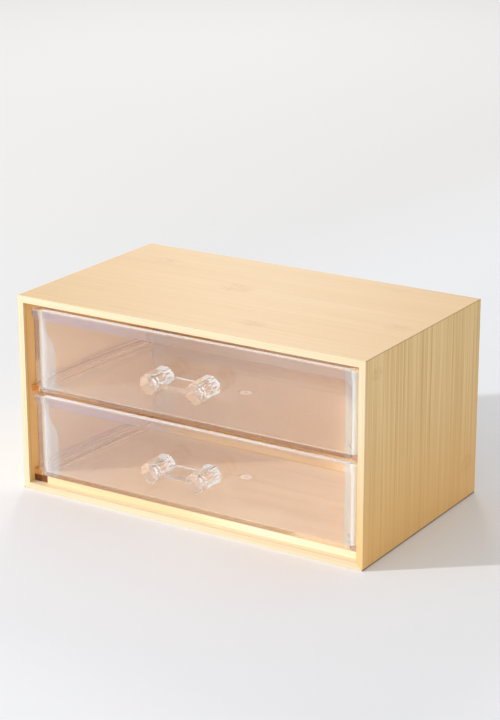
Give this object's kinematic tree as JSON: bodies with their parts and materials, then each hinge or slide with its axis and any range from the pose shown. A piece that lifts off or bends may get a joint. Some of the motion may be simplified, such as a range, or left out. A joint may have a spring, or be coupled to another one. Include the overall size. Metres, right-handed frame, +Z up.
{
  "type": "desk organizer with drawers",
  "caption": "Low mitred bamboo case, open at the front, with clear moulded drawers that slide on side runners; each has a faceted clear handle.",
  "frame": {"origin": "centre of the case's bottom face", "axes": "+X to the right along the width, +Y to the back away from the handles, +Z up"},
  "size_m": [0.251, 0.1607, 0.13],
  "materials": {
    "case_bamboo": "satin",
    "panel_bamboo": "satin",
    "runner_wood": "satin",
    "spline_wood": "matt",
    "tray_clear": "clear gloss",
    "handle_clear": "clear gloss"
  },
  "bodies": {
    "case": {"top_board": "case_bamboo", "bottom_board": "case_bamboo", "left_board": "case_bamboo", "right_board": "case_bamboo", "back_panel": "panel_bamboo", "floor_panel": "panel_bamboo", "corner_splines": "spline_wood", "lower_left_runner": "runner_wood", "lower_right_runner": "runner_wood", "upper_left_runner": "runner_wood", "upper_right_runner": "runner_wood"},
    "upper_drawer": {"upper_tray": "tray_clear", "upper_handle": "handle_clear"},
    "lower_drawer": {"lower_tray": "tray_clear", "lower_handle": "handle_clear"}
  },
  "joints": [
    {"name": "upper_drawer_slide", "type": "slide", "parent": "case", "child": "upper_drawer", "axis": [0, -1, 0], "range_m": [0, 0.11]},
    {"name": "lower_drawer_slide", "type": "slide", "parent": "case", "child": "lower_drawer", "axis": [0, -1, 0], "range_m": [0, 0.11]}
  ]
}
